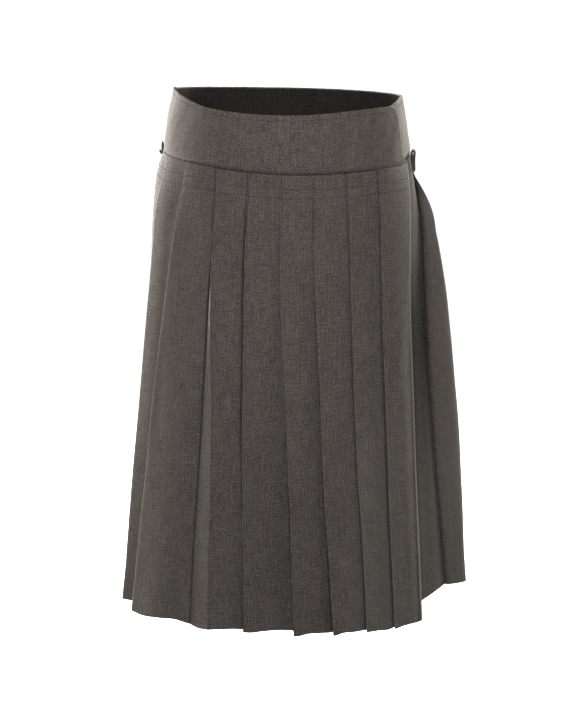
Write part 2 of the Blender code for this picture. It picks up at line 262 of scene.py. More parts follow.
def turnPoints(fold):
    # round the inner fold, along the return and round the fold edge
    inner = np.array(fold["inner"])
    edge = np.array(fold["edge"])
    depth = np.linalg.norm(edge - inner)
    back = (edge - inner) / depth
    closed = ramp(back[0], -0.5, -0.5)  # 1 where it is pressed flat
    half = closed * cut["layerPitch"] / 2
    loose = (1 - closed) * min(cut["layerPitch"], cut["looseTurn"] * depth)
    level = np.array([1.0, 0.0])
    return [inner + half * np.array([-1, -1]) - loose * level,
            inner,
            inner + half * np.array([-1, 1]) + loose * back,
            edge + half * np.array([1, -1]) - loose * back,
            edge,
            edge + half * np.array([1, 1]) + loose * level]


def panelPoints(start, end, behind, before, share, count=3, ceiling=math.inf, hold=1.0, belly=0.0):
    # a panel from a fold edge to the next inner fold, swelling where it hangs free
    swell = belly * (share if belly > 0 else share ** pleated["hollowPower"])
    points = []
    for step in np.linspace(0.0, 1.0, count):
        place = behind + step * (before - behind)
        pressed = start[1] + step ** hold * (end[1] - start[1])
        part = (place - start[0]) / (end[0] - start[0])
        loose = start[1] + part * (end[1] - start[1]) + 4 * swell * part * (1 - part)
        points.append(np.array([place, (1 - share) * pressed + share * loose]))
    points[-1][1] = min(points[-1][1], ceiling) - pleated["dive"] * share
    return points


def pleatedSection(pleats, drop, first, last, count=3, hold=1.0):
    # the cloth in one level cut, with the places in the list of each inner fold and fold edge
    folds = foldsAt(pleats, drop)
    turns = [turnPoints(fold) for fold in folds]
    clear = cut["foldClear"]
    section = [np.array(first)]
    ahead = min(folds[0]["edge"][0], folds[0]["inner"][0]) - clear
    behind = first[0] + (ahead - first[0]) / (count + 1)
    section += panelPoints(section[0], turns[0][0], behind, ahead, 0.0, count, hold=hold)
    marks = [len(section)]
    section += turns[0]
    for before, fold, turn in zip(folds, folds[1:], turns[1:]):
        ahead = min(fold["edge"][0], fold["inner"][0]) - clear
        behind = max(before["edge"][0], before["inner"][0]) + clear
        share = (fold["share"] + before["share"]) / 2
        ceiling = fold["edge"][1] - 1.5 * cut["layerPitch"]
        section += panelPoints(section[-1], turn[0], behind, ahead, share,
                               ceiling=ceiling, belly=before["belly"])
        marks.append(len(section))
        section += turn
    final = folds[-1]
    behind = max(final["edge"][0], final["inner"][0]) + clear
    section += panelPoints(section[-1], last, behind, last[0] - clear, final["share"], belly=final["belly"])
    section.append(np.array(last))
    return np.array(section), marks


def refine(points, cuts, closing=()):
    # cubic spline on a polygon, with cuts[i] steps from point i to the next
    # the steps that start at a closing point grow from short to long
    padded = np.vstack([2 * points[0] - points[1], points, 2 * points[-1] - points[-2]])
    pieces = []
    for i, count in enumerate(cuts):
        t = (np.arange(count) / count)[:, None] ** (2 if i in closing else 1)
        weights = ((1 - t) ** 3, 3 * t ** 3 - 6 * t ** 2 + 4, -3 * t ** 3 + 3 * t ** 2 + 3 * t + 1, t ** 3)
        pieces.append(sum(weight * padded[i + k] for k, weight in enumerate(weights)) / 6)
    pieces.append(points[-1:])
    return np.vstack(pieces)


def creaseHeight(creases, arcs, drop):
    # soft ridges and troughs that run down the cloth
    height = np.zeros_like(arcs)
    for i, width in enumerate(creases["width"]):
        t = (drop - creases["top"][i]) / (creases["end"][i] - creases["top"][i])
        if 0 < t < 1:
            middle = creases["arcTop"][i] + t * (creases["arcEnd"][i] - creases["arcTop"][i])
            height += math.sin(math.pi * t) ** 0.8 * creases["height"][i] * bell(arcs, middle, width)
    return height


def gridNormals(points):
    return unit(np.cross(np.gradient(points, axis=0), np.gradient(points, axis=1)))


rimRound = (38.0, 72.0)  # degrees round the cloth's edge at which it gets one more row


def roundRims(grids):
    # two more rows past each edge, thinner each time, so that the cloth's edge is round
    for axis, order in ((0, 1), (0, -1), (1, 1), (1, -1)):
        points, normals, outer, inner, marks = (np.moveaxis(grid, axis, 0)[::order] for grid in grids)
        away = unit(points[0] - points[1])
        edge, edgeOuter, edgeInner = points[0], outer[0], inner[0]
        half = (edgeOuter + edgeInner) / 2
        for degrees in rimRound:
            past = edge + away * (math.sin(math.radians(degrees)) * half)[:, None]
            thin = math.cos(math.radians(degrees))
            points = np.concatenate([past[None], points])
            normals = np.concatenate([normals[:1], normals])
            outer = np.concatenate([thin * edgeOuter[None], outer])
            inner = np.concatenate([thin * edgeInner[None], inner])
            marks = np.concatenate([marks[:1], marks])
        grids = [np.moveaxis(grid[::order], 0, axis) for grid in (points, normals, outer, inner, marks)]
    return grids


def clothShell(name, points, outer, inner, marks, material, inside=None):
    # a closed thin wall from a grid of points; marks are u, v and the pressed value of each point: painted
    # light and shade, with worn light on pressed fold edges
    points = np.array(points)
    grids = (points, gridNormals(points), np.array(outer), np.array(inner), np.array(marks))
    points, normals, outer, inner, marks = roundRims(grids)
    rows, columns = points.shape[:2]
    verts = np.concatenate([(points + normals * outer[..., None]).reshape(-1, 3),
                            (points - normals * inner[..., None]).reshape(-1, 3)])
    index = np.arange(rows * columns).reshape(rows, columns)
    back = index + rows * columns

    def quads(*corners):
        return np.stack([corner.ravel() for corner in corners], axis=1)

    faces = np.concatenate([
        quads(index[:-1, :-1], index[1:, :-1], index[1:, 1:], index[:-1, 1:]),
        quads(back[:-1, :-1], back[:-1, 1:], back[1:, 1:], back[1:, :-1]),
        quads(index[0, :-1], index[0, 1:], back[0, 1:], back[0, :-1]),
        quads(index[-1, :-1], back[-1, :-1], back[-1, 1:], index[-1, 1:]),
        quads(index[:-1, 0], back[:-1, 0], back[1:, 0], index[1:, 0]),
        quads(index[:-1, -1], index[1:, -1], back[1:, -1], back[:-1, -1]),
    ])
    piece = meshObject(name, verts, faces.tolist(), material)
    across, down, pressed = marks.reshape(-1, 3).T
    weave = np.tile(np.column_stack([across, down, np.zeros(len(across))]), (2, 1))
    pressed = np.concatenate([pressed, np.zeros(len(pressed))])  # only the outside shows the painted light and shade and the worn edges
    attributes = piece.data.attributes
    attributes.new("weave", "FLOAT_VECTOR", "POINT").data.foreach_set("vector", weave.ravel())
    attributes.new("pressed", "FLOAT", "POINT").data.foreach_set("value", pressed)
    if inside:
        quadsEachSide = (rows - 1) * (columns - 1)
        slots = np.zeros(len(faces), dtype=np.int32)
        slots[quadsEachSide:2 * quadsEachSide] = 1
        piece.data.materials.append(inside)
        piece.data.polygons.foreach_set("material_index", slots)
    return piece


def meshObject(name, verts, faces, material):
    mesh = bpy.data.meshes.new(name)
    mesh.from_pydata(verts.tolist(), [], faces)
    mesh.materials.append(material)
    mesh.shade_smooth()
    return addObject(name, mesh)


# The wool: a fine two-tone worsted, sizes in metres of cloth
wool = {
    "darkYarn": (0.043, 0.0375, 0.035),
    "lightYarn": (0.18, 0.159, 0.146),
    "brownCast": (0.118, 0.094, 0.074),
    # painted highlight, with the worn light of pressed fold edges, and painted shade: the two colours that
    # the pressed attribute mixes in
    "paintedLightAndWear": (0.26, 0.235, 0.21),
    "paintedShade": (0.016, 0.0135, 0.0125),
    "yarnPitch": 0.00052,
    "speck": 0.0013,
    "roughness": 0.86,
    "roughSwing": 0.12,
    "sheenRoughness": 0.3,
    "bump": 0.7,
    "bumpDepth": 0.00012,
    "weaveHigh": 0.5,  # shares of the bump
    "speckHigh": 1.2,
    "specular": 0.25,
    "sheenTint": (1.0, 0.95, 0.88, 1.0),
    "tone": 0.4,  # between the dark yarn and the light one
    "speckGain": 2.9,
    "streak": (0.0015, 0.012, 0.8),
    "patches": [
        # size across, size along, detail and gain of the slower changes of tone
        (0.0015, 0.035, 1.0, 0.7),
        (0.016, 0.0014, 1.0, 0.8),
        (0.009, 0.014, 2.0, 0.25),
        (0.035, 0.06, 2.0, 0.3),
    ],
    "castSize": (0.011, 0.023),
}


class Nodes:
    # shorthand for a material's node tree
    def __init__(self, name):
        self.material = bpy.data.materials.new(name)
        self.material.use_nodes = True
        self.tree = self.material.node_tree
        self.shader = self.tree.nodes["Principled BSDF"]

    def add(self, kind, **settings):
        node = self.tree.nodes.new(kind)
        for key, value in settings.items():
            setattr(node, key, value)
        return node

    def link(self, source, target):
        self.tree.links.new(source, target)

    def feed(self, socket, value):
        if isinstance(value, bpy.types.NodeSocket):
            self.link(value, socket)
        else:
            socket.default_value = (*value, 1.0) if isinstance(value, tuple) else value

    def math(self, operation, *values):
        node = self.add("ShaderNodeMath", operation=operation)
        for socket, value in zip(node.inputs, values):
            self.feed(socket, value)
        return node.outputs[0]

    def mix(self, factor, a, b, blend="MIX"):
        node = self.add("ShaderNodeMix", data_type="RGBA", blend_type=blend)
        for k, value in ((0, factor), (6, a), (7, b)):
            self.feed(node.inputs[k], value)
        return node.outputs[2]

    def noise(self, u, v, sizeU, sizeV, detail=2.0):
        # noise with cells of a size across and a size along the cloth
        place = self.add("ShaderNodeCombineXYZ")
        self.link(self.math("DIVIDE", u, sizeU), place.inputs[0])
        self.link(self.math("DIVIDE", v, sizeV), place.inputs[1])
        node = self.add("ShaderNodeTexNoise", noise_dimensions="2D")
        setInputs(node, {"Scale": 1.0, "Detail": detail, "Roughness": 0.5})
        self.link(place.outputs[0], node.inputs["Vector"])
        return node.outputs["Fac"]


def woolMaterial(name, shade=1.0, sheen=1.0, warmth=0.25):
    n = Nodes(name)
    weave = n.add("ShaderNodeAttribute", attribute_name="weave")
    pressed = n.add("ShaderNodeAttribute", attribute_name="pressed")
    axes = n.add("ShaderNodeSeparateXYZ")
    n.link(weave.outputs["Vector"], axes.inputs[0])
    u, v = axes.outputs[:2]
    specks = n.noise(u, v, wool["speck"], wool["speck"], detail=1.0)
    wide, long, streakGain = wool["streak"]
    streaks = n.noise(u, v, wide, long, detail=1.0)
    patterns = [(specks, wool["speckGain"]), (streaks, streakGain)]
    patterns += [(n.noise(u, v, wide, long, detail), gain) for wide, long, detail, gain in wool["patches"]]
    tone = wool["tone"]
    for pattern, gain in patterns:
        tone = n.math("MULTIPLY_ADD", n.math("SUBTRACT", pattern, 0.5), gain, tone)
    colour = n.mix(tone, wool["darkYarn"], wool["lightYarn"])
    cast = n.math("MULTIPLY", n.noise(u, v, *wool["castSize"]), 2 * warmth)
    colour = n.mix(cast, colour, wool["brownCast"])
    # the pressed attribute paints light above 0 (painted highlight, partly worn fold edges) and shade below
    # 0 (painted shade)
    light = pressed.outputs["Fac"]
    for value, paintedLight in ((light, wool["paintedLightAndWear"]), (n.math("MULTIPLY", light, -1.0), wool["paintedShade"])):
        colour = n.mix(n.math("MAXIMUM", value, 0.0), colour, paintedLight)
    # shade scales a copy of the wool; below 1 it is painted shade, as on the yokes' inside and the tabs
    if shade != 1.0:
        colour = n.mix(1.0, colour, (shade, shade, shade), blend="MULTIPLY")
    n.link(colour, n.shader.inputs["Base Color"])
    turns = 2 * math.pi / wool["yarnPitch"]
    warp, filling = (n.math("SINE", n.math("MULTIPLY", way, turns)) for way in (u, v))
    height = n.math("MULTIPLY", specks, wool["speckHigh"])
    height = n.math("MULTIPLY_ADD", n.math("MULTIPLY", warp, filling), wool["weaveHigh"], height)
    height = n.math("ADD", streaks, height)
    bump = n.add("ShaderNodeBump")
    setInputs(bump, {"Strength": wool["bump"], "Distance": wool["bumpDepth"]})
    n.link(height, bump.inputs["Height"])
    n.link(bump.outputs[0], n.shader.inputs["Normal"])
    swing = wool["roughSwing"]
    rough = n.math("MULTIPLY_ADD", specks, swing, wool["roughness"] - swing / 2)
    n.link(rough, n.shader.inputs["Roughness"])
    setInputs(n.shader, {"Specular IOR Level": wool["specular"], "Sheen Weight": sheen,
                         "Sheen Roughness": wool["sheenRoughness"], "Sheen Tint": wool["sheenTint"]})
    return n.material


skirtWool = woolMaterial("skirtWool")
# a shaded copy of the wool with less sheen, so that the back and the under layer beside the free edge take
# less light
backWool = woolMaterial("backWool", sheen=0.45)
yokeWool = woolMaterial("yokeWool", shade=1.03)
# the yokes' inside faces: a darker copy of the wool with little sheen, painted shade for the inside of the
# skirt
insidePaintedShadeWool = woolMaterial("insidePaintedShadeWool", shade=0.22, sheen=0.08)
# the hip tabs: a darker copy of the wool with less sheen, painted shade
tabWool = woolMaterial("tabWool", shade=0.8, sheen=0.25)

# The yoke: a shaped band with its facing, 1.8 mm thick
yoke = {
    "half": 0.0009,
    "radius": 0.135,  # for lengths along the cloth
    "sideBearing": -98.0,
    "wrapEdge": (65.0, 68.5),  # bearing of the wrap's free edge at the rim and at the seam
    "underEdge": 36.0,
    "wrapRun": 24.0,
    "backGap": 0.13,  # degrees between the two yokes at the right hip
    "edgeSteps": (0.0045, 0.0036, 0.0028, 0.0021, 0.0015, 0.001, 0.0005),  # columns close to the edge
    "rows": 26,
    "step": 1.0,  # degrees between columns
    "seamDip": 0.0016,  # the cloth turns in at the seam
    "seamRun": 0.003,
    # painted shade where the yoke turns in at the seam, and how high it reaches
    "seamShade": 0.95,
    "shadeHigh": 0.001,
    "edgeLight": (1.0, 0.0, 0.0011),  # strength, place and width of the painted highlight on the free edge
    # and the painted shade beside it
    "edgeDark": (-0.9, 0.0026, 0.0009),
    "ripple": 0.00035,
    "rippleWide": 23.0,  # degrees
    "rippleFade": 0.012,  # the ripples start this far above the seam
    "drawIn": {"band": (0.0034, 94.0, 17.0), "run": 0.06},  # the rim at the wearer's left
    "slub": {"across": (0.00028, 6.0, 2.8648), "down": (0.0225, 0.0008)},
}


def yokeRows():
    # shares of the yoke's height, closer together at the rim and the seam
    t = np.linspace(0.0, 1.0, yoke["rows"])
    return 0.5 - 0.5 * np.cos(math.pi * t) * (0.35 + 0.65 * np.abs(np.cos(math.pi * t)) ** 0.2)


def atFront(degrees):
    # 1 on the front of the skirt, 0 at the sides and behind
    return ramp(np.abs(degrees), cut["frontEnds"], -cut["frontFades"])


def noLift(degrees):
    return 0.0 * degrees


def underYokeLift(degrees):
    # the under yoke lies behind the wrap, and comes out beyond its free edge
    start = yoke["wrapEdge"][1]
    inside = -(2 * yoke["half"] + 2 * cut["seamGap"])
    return np.interp(degrees, [start, start + yoke["wrapRun"]], [inside, 0.0])


def yokeOut(degrees, drop, above, lift):
    # distance off the form, with the turned-in seam and shallow ripples
    dip = yoke["seamDip"] * (0.9 + 0.1 * atFront(degrees))
    ripple = yoke["ripple"] * ramp(above, 0.0, yoke["rippleFade"])
    draw = 1 - ramp(drop, 0.0, yoke["drawIn"]["run"])
    slub = yoke["slub"]
    return (lift - dip * bell(above, 0.0, yoke["seamRun"])
            + ripple * wobble(3, degrees + 240 * drop, yoke["rippleWide"])
            - draw * band(degrees, yoke["drawIn"]["band"])
            + band(degrees, slub["across"]) * bell(drop, *slub["down"]))


def yokePiece(name, edges, first, last, lift, edgeLine, paintedLight):
    columns = int(round((last[1] - first[1]) / yoke["step"]))
    spread = math.radians(last[1] - first[1]) * yoke["radius"]
    nearEdge = 1 - np.array(yoke["edgeSteps"]) / spread
    shares = np.concatenate([np.linspace(0.0, 1.0, columns)[:-1], nearEdge, [1.0]])
    fromEdge = (1 - shares) * spread
    points, marks = [], []
    for share in yokeRows():
        ends = [(1 - share) * end[0] + share * end[1] for end in (first, last)]
        degrees = ends[0] + shares * (ends[1] - ends[0])
        rim, seam = rimAndSeam(edges, degrees)
        z = (1 - share) * rim + share * seam
        x, y = onForm(np.radians(degrees), -z, yokeOut(degrees, -z, z - seam, lift(degrees)))
        points.append(np.column_stack([x, y, z]))
        # painted light and shade: a highlight and a shade line on the free edge, a band of painted light at
        # given bearings that paints shade where its strength is below 0, and painted shade at the seam
        high = yoke["shadeHigh"] * (1.8 - 0.8 * atFront(degrees))
        pressed = edgeLine * (band(fromEdge, yoke["edgeLight"]) + band(fromEdge, yoke["edgeDark"]))
        pressed += band(degrees, paintedLight) - yoke["seamShade"] * bell(z - seam, 0.0, high)
        marks.append(np.column_stack([np.radians(degrees) * yoke["radius"], -z, pressed]))
    points = np.array(points)
    half = np.full(points.shape[:2], yoke["half"])
    # the rounded rim takes back what it adds past the edge
    points[0, :, 2] -= yoke["half"]
    points[-1, :, 2] += yoke["half"]
    return clothShell(name, points, half, half, marks, yokeWool, insidePaintedShadeWool)


sideEnd = (yoke["sideBearing"],) * 2
underEnd = (yoke["underEdge"],) * 2
backEnd = (yoke["sideBearing"] + 360.0 - yoke["backGap"],) * 2
# the front yoke gets a painted highlight on its free edge and painted shade before it; the under yoke gets
# painted light beyond that edge
frontYoke = yokePiece("frontYoke", frontEdges, sideEnd, yoke["wrapEdge"], noLift, 0.9, (-0.45, 70.0, 13.0))
backYoke = yokePiece("backYoke", backEdges, underEnd, backEnd, underYokeLift, 0.0, (1.1, 77.0, 11.0))
for piece, node, wide, area in (
    (frontYoke, "front_yoke", 0.345, 0.0234),
    (backYoke, "back_yoke", 0.452, 0.0307),
):
    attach(piece, "root")
    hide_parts(node)
print("yoke made")

# The pleated cloth
pleated = {
    "half": 0.00036,
    "hemTurn": 0.027,  # height of the turned-up hem
    "hemThicker": 0.00035,
    "rowStep": 0.0056,
    "turnCuts": 3,  # columns for each step round a fold, and along a panel
    "panelCuts": 5,
    "panelWide": 0.137,  # cloth from one fold edge to the next, for the weave
    "sway": 0.0007,  # the fold edges aren't quite straight
    "hemWave": 0.0009,
    "hemWaveLength": 0.083,
    "hemFrom": 0.9,  # the hem's own unevenness starts at this share of the length
    "firstHigher": 0.0062,  # the first panel hangs this much higher than the next
    "firstRun": 0.05,
    "ripple": 0.00045,
    "rippleSpan": (0.02, 0.1),
    "rippleSizes": (0.058, 0.27),  # across and down
    "squeeze": 0.5,  # share of the layers' thickness left at the seam
    "squeezeRun": 0.012,
    "proud": 0.0006,
    "turnBelow": (-0.0014, -0.0005, 0.0001, 0.0003, 0.0005, 0.0008, 0.0013),
    "turnIn": (0.003, 0.0026, 0.0014, 0.0007, 0.0003, 0.0001, 0.0),
    "dive": 0.0022,  # a hanging panel drops this much deeper just before the next fold
    "hollowPower": 0.35,  # a hollow panel is hollow higher up than a swelling one swells
    "stitchRows": (0.0155, 0.0262),  # below the seam
    "stitchDip": 0.00045,
    "stitchWide": 0.0016,
}
sideSeam = {
    "arc": (-0.222, -0.237, -0.26, -0.284),
    "stand": 0.003,  # the cloth beside it stands off the hip
    "rise": 0.006,
    "hold": 3.0,
}
apron = {
    "edge": (0.16, 0.1508, 0.1492, 0.1536),
    "edgeStand": 0.012,
    "corner": 0.009,  # the free edge's bottom corner is rounded off
    "cornerRise": 0.0027,
}
underLayer = {
    "edge": (0.095, 0.094, 0.096, 0.1),
    "sink": 0.0034,
    "points": 7,
    "hangFrom": 0.1,
    "hangFree": 0.26,
    "hemLower": 0.0055,
}
firstRoll = 0.16  # how far the first fold behind rolls forwards, as a share of its depth

# Painted light and shade on the cloth, with the worn light of pressed fold edges. A band is how strong it
# is, where its middle lies and how wide it is, and a span is where below the seam it starts and over what
# run it grows
foldShade = {
    "light": 0.06,  # worn light and painted highlight on a fold edge
    "upper": -0.5,  # and what it is above the span, there painted shade
    "span": (0.065, 0.03),
    "wide": 0.0008,
    "strong": {0: (-0.5, -0.8), 1: (0.9, -0.7), 2: (-0.3, -0.7), 3: (-0.2, -0.9)},  # the same two in front: painted highlight above 0, painted shade below
    "slotWidth": 0.0018,  # painted shade on the cloth this far outside the next fold edge
    "slotWidths": {1: 0.002, 2: 0.003, 3: 0.0029, 4: 0.0016, 5: 0.0013, 6: 0.0012, 7: 0.0012},
    "slotSoft": 0.0005,
    "slotLeft": (0.85, 0.85, 0.85, 0.85),
    "slotRight": (0.35, 0.25, 0.4, 0.6),
    "slotSpan": (0.028, 0.025),
    # painted shade at the seam
    "seam": 0.8,
    "seamSpan": (0.0009, -0.0006),
}
# painted light and shade on the front skirt
frontShade = {
    "hipSpan": (0.13, -0.05),
    "hipStrip": (0.7, -0.006, 0.0045),  # painted highlight before the first fold
    "hipPanel": (-0.9, 0.003, 0.0036),  # painted shade after it
    "nextSpan": (0.04, 0.05),
    "nextLight": (0.45, 0.0, 0.013),  # painted highlight before the second fold, then painted shade after it and painted light on its panel
    "nextDark": (-0.7, 0.002, 0.012),
    "nextPanel": (0.12, 0.032, 0.022),
    # painted shade on the third fold's return
    "thirdReturn": (-0.85, 0.17, 0.07),
    "lowSpan": (0.22, 0.15),  # painted light and shade toward the hem
    "lowLight": 0.14,
    "lowLightArcs": (0.05, 0.03),
    "lowDark": (-0.13, -0.02, 0.06),
    "edgeDark": (-0.5, 0.0, 0.018),  # painted shade beside the free edge, and a painted highlight on it
    "edgeLight": (1.4, 0.0, 0.002),
}
# painted light and shade on the back skirt
backShade = {
    "span": (0.006, 0.012),
    "rollLight": 0.26,
    "rollLightRun": 0.006,
    "rollHigh": (1.0, 0.06, 0.05),  # more painted light here, and toward the hem
    "rollLow": (0.28, 0.1),
    "rollLowLight": 0.5,
    "rollDark": (0.9, 0.0, 0.005),  # painted shade in the fold's hollow
    "rollDarkFade": (0.22, 0.12),
    "rollDarkLoss": 0.6,
    "underDark": 0.8,  # painted shade on the under layer beside the free edge
    "underRun": 0.003,
    "underFade": (0.24, 0.16),
    "underLoss": 0.8,
    "strips": [
        # painted shade, then painted light, as a band across the under layer beside the free edge, and its
        # span
        ((-0.9, 0.0, 0.17), (0.11, 0.06)),
        ((0.75, 0.86, 0.2), (0.2, 0.12)),
    ],
}
creaseColumns = "arcTop arcEnd top end width height"
frontCreases = makeTable(creaseColumns, [
    (-118, -150, 120, 430, 9, 0.5),
    (-98, -112, 160, 560, 11, -0.6),
    (-62, -66, 130, 420, 8, 0.4),
    (-66, -68, 330, 600, 9, -0.5),
    (-30, -30, 190, 560, 7, 0.5),
    (-22, -24, 110, 330, 8, -0.35),
    (12, 20, 240, 610, 8, 0.6),
    (44, 58, 150, 480, 8, -0.5),
    (84, 96, 280, 600, 9, 0.6),
    (122, 132, 120, 380, 8, 0.45),
    (118, 126, 340, 610, 10, -0.5),
], mm)
backCreases = makeTable(creaseColumns, [
    (226, 262, 140, 460, 9, 0.6),
    (268, 305, 220, 600, 11, -0.6),
    (300, 330, 110, 400, 9, 0.5),
    (340, 398, 200, 610, 10, -0.6),
    (384, 430, 130, 420, 9, 0.5),
    (398, 470, 240, 600, 11, 0.5),
    (446, 500, 150, 520, 10, -0.6),
    (492, 560, 120, 500, 9, 0.5),
    (528, 610, 260, 600, 10, -0.5),
], mm)

# How much higher the front hem hangs at each arc, in mm
hemLift = makeTable("arc lift", [
    (-240, 1), (-168, 1.2), (-150, 2.2), (-134, 2.3), (-120, -0.9), (-106, -3.1), (-92, -0.9),
    (-79, 1.3), (-66, 1.7), (-53, -0.6), (-41, -1), (-28, 1.2), (-16, 2.1), (-3, 1), (9, 0.3),
    (22, 2.1), (34, 0.2), (47, -2.1), (59, 1.3), (72, 0.7), (85, 0.1), (99, -0.5), (112, -2.3),
    (127, -1), (142, -1.4), (155, -3.8),
], mm)


def skirtRows():
    # distances below the seam; the first few turn in behind the yoke
    top = [-0.0025, -0.0014, -0.0005, 0.0001, 0.0003, 0.0005, 0.0008, 0.0013, 0.0022, 0.0036, 0.0054, 0.0078]
    fromHem = [0.03, 0.0283, 0.0275, 0.0267, 0.0259, 0.024, 0.0205, 0.016, 0.0115, 0.0075, 0.0045,
               0.0024, 0.0012, pleated["half"]]
    hem = skirtLength - np.array(fromHem)
    count = int(round((hem[0] - top[-1]) / pleated["rowStep"]))
    return np.concatenate([top, np.linspace(top[-1], hem[0], count + 1)[1:-1], hem])


def placeOnSkirt(edges, arcs, out, below, arcList):
    # points from arcs and distances off the form, on the row that lies below the seam by so much
    bearings = np.interp(arcs, arcList, arcBearings)
    seam = rimAndSeam(edges, np.degrees(bearings))[1] - cut["seamGap"]
    share = max(below, 0.0) / skirtLength
    z = (1 - share) * seam - share * cut["hemDrop"] - min(below, 0.0)
    x, y = onForm(bearings, -z, out)
    return np.column_stack([x, y, z])


def relief(creases, arcs, below):
    # everything that is pressed, creased or rippled in the cloth, the same in each layer
    drop = below + cut["seamDrop"]
    free = pleated["ripple"] * ramp(below, *pleated["rippleSpan"])
    wide, high = pleated["rippleSizes"]
    waves = wobble(5, arcs + 0.12 * drop, wide) * wobble(2, drop + 0.4 * arcs, high)
    stitched = sum(bell(below, row, pleated["stitchWide"]) for row in pleated["stitchRows"])
    return creaseHeight(creases, arcs, drop) + free * waves - pleated["stitchDip"] * stitched


def turnedIn(out, below, degrees):
    # at the seam the layers are squeezed flat, and their top turns in behind the yoke
    flat = pleated["squeeze"] + (1 - pleated["squeeze"]) * ramp(below, 0.0, pleated["squeezeRun"])
    turn = float(np.interp(below, pleated["turnBelow"], pleated["turnIn"]))
    fade = math.exp(-max(below, 0.0) / pleated["squeezeRun"])
    return out * flat + pleated["proud"] * (2.2 * atFront(degrees) - 1.2) * fade - turn


def apronArc(drop):
    return atHeights(apron["edge"], drop)


class ClothRow:
    # one row of a pleated piece: its points and where its folds lie among them
    def __init__(self, below, edges, sectionAt, creases, roll):
        self.below = below
        self.drop = cut["seamDrop"] + max(below, 0.0)
        section, turns = sectionAt(self.drop)
        cuts = np.full(len(section) - 1, pleated["panelCuts"])
        for turn in turns:
            cuts[turn:turn + 5] = pleated["turnCuts"]
        self.starts = np.concatenate([[0], np.cumsum(cuts)])
        self.folds = [(self.starts[turn + 1], self.starts[turn + 4]) for turn in turns]
        self.afterSecond = self.starts[turns[1] + 2]
        self.arcs, out = refine(section, cuts, [turn - 1 for turn in turns]).T
        inside, edge = self.folds[0]
        t = np.linspace(0.0, 1.0, edge - inside + 1)
        self.arcs[inside:edge + 1] -= roll * max(out[edge] - out[inside], 0.0) * np.sin(math.pi * t ** 0.8)
        self.arcList = arcsAt(self.drop)
        degrees = np.degrees(np.interp(self.arcs, self.arcList, arcBearings))
        out = turnedIn(out, below, degrees) + relief(creases, self.arcs, below)
        self.points = placeOnSkirt(edges, self.arcs, out, below, self.arcList)
        self.low = max(below / skirtLength - pleated["hemFrom"], 0.0) / (1 - pleated["hemFrom"])
        self.points[:, 2] += pleated["hemWave"] * self.low * wobble(7, self.arcs, pleated["hemWaveLength"])

    def measure(self):
        # lengths along the cloth, and the same counted afresh from each fold edge for the weave
        self.length = lengthsAlong(self.points)
        self.across = self.length.copy()
        ends = [inside for inside, edge in self.folds[1:]] + [len(self.length)]
        for k, ((inside, edge), end) in enumerate(zip(self.folds, ends)):
            fromEdge = self.length[inside:end] - self.length[edge]
            self.across[inside:end] = fromEdge + pleated["panelWide"] * (k + 1)


def hangFront(row):
    # the panels hang a little unevenly, and the free edge's corner is rounded at the hem
    arcs, z = row.arcs, row.points[:, 2]
    z += row.low * smooth(arcs, hemLift["arc"], hemLift["lift"])
    first = slice(row.afterSecond)
    z[first] += row.low * pleated["firstHigher"] * ramp(arcs[first], arcs[0], pleated["firstRun"])
    near = ramp(arcs, arcs[-1] - apron["corner"], apron["corner"])
    under = ramp(row.below, skirtLength - apron["corner"], apron["corner"])
    z += apron["cornerRise"] * under * near ** 2.2


def hangBack(row):
    # the under layer hangs straight, a little lower at its hem
    points = row.points
    last = row.starts[underLayer["points"] + 1]
    free = ramp(row.drop, underLayer["hangFrom"], underLayer["hangFree"] - underLayer["hangFrom"])
    t = (np.arange(last) / last)[:, None]
    straight = points[0] + t * (points[last] - points[0])
    points[:last] += free * (straight - points[:last])
    points[:last, 2] -= row.low * underLayer["hemLower"] * (1 - t[:, 0] ** 4)


def shadeFolds(row, strong):
    # worn light and painted highlight on the fold edges, painted shade in the slot in the cloth before each
    # of them, and painted shade at the seam
    pressed = np.zeros(len(row.length))
    start = 0
    for k, (inside, edge) in enumerate(row.folds):
        lower, upper = strong.get(k, (foldShade["light"], foldShade["upper"]))
        strength = upper + (lower - upper) * ramp(row.below, *foldShade["span"])
        pressed += strength * bell(row.length, row.length[edge], foldShade["wide"])
        width = foldShade["slotWidths"].get(k, foldShade["slotWidth"])
        limit = min(row.arcs[edge], row.arcs[inside]) - width
        slot = ramp(row.arcs[start:inside], limit, foldShade["slotSoft"])
        shade = atHeights(foldShade["slotRight" if k > 3 else "slotLeft"], row.drop)
        pressed[start:inside] -= shade * slot * (0.5 + 0.5 * ramp(row.below, *foldShade["slotSpan"]))
        start = edge
    return pressed - foldShade["seam"] * ramp(row.below, *foldShade["seamSpan"])


def shadeFront(row, pressed):
    below, arcs, length, shade = row.below, row.arcs, row.length, frontShade
    # at the hip the strip before the first fold gets a painted highlight and the panel after it painted
    # shade
    past = length - length[row.folds[0][1]]
    hip = ramp(below, *shade["hipSpan"])
    pressed += hip * (band(past, shade["hipStrip"]) + band(past, shade["hipPanel"]))
    # lower down the next panel is the darker one, painted shade
    grow = ramp(below, *shade["nextSpan"])
    inside, edge = row.folds[1]
    past = length - length[edge]
    pressed += grow * ((past > 0) * band(past, shade["nextDark"]) + band(past, shade["nextPanel"]))
    pressed[:inside] += grow * band(arcs[:inside] - arcs[edge], shade["nextLight"])
    # painted shade on the third fold's return
    inside, edge = row.folds[2]
    pressed[inside:edge + 1] += band(below, shade["thirdReturn"])
    # painted light and shade toward the hem
    low = ramp(below, *shade["lowSpan"])
    pressed += low * (shade["lowLight"] * ramp(arcs, *shade["lowLightArcs"]) + band(arcs, shade["lowDark"]))
    # painted shade beside the free edge, and a painted highlight on it
    fromEdge = length[-1] - length
    pressed += band(fromEdge, shade["edgeDark"]) + band(fromEdge, shade["edgeLight"])


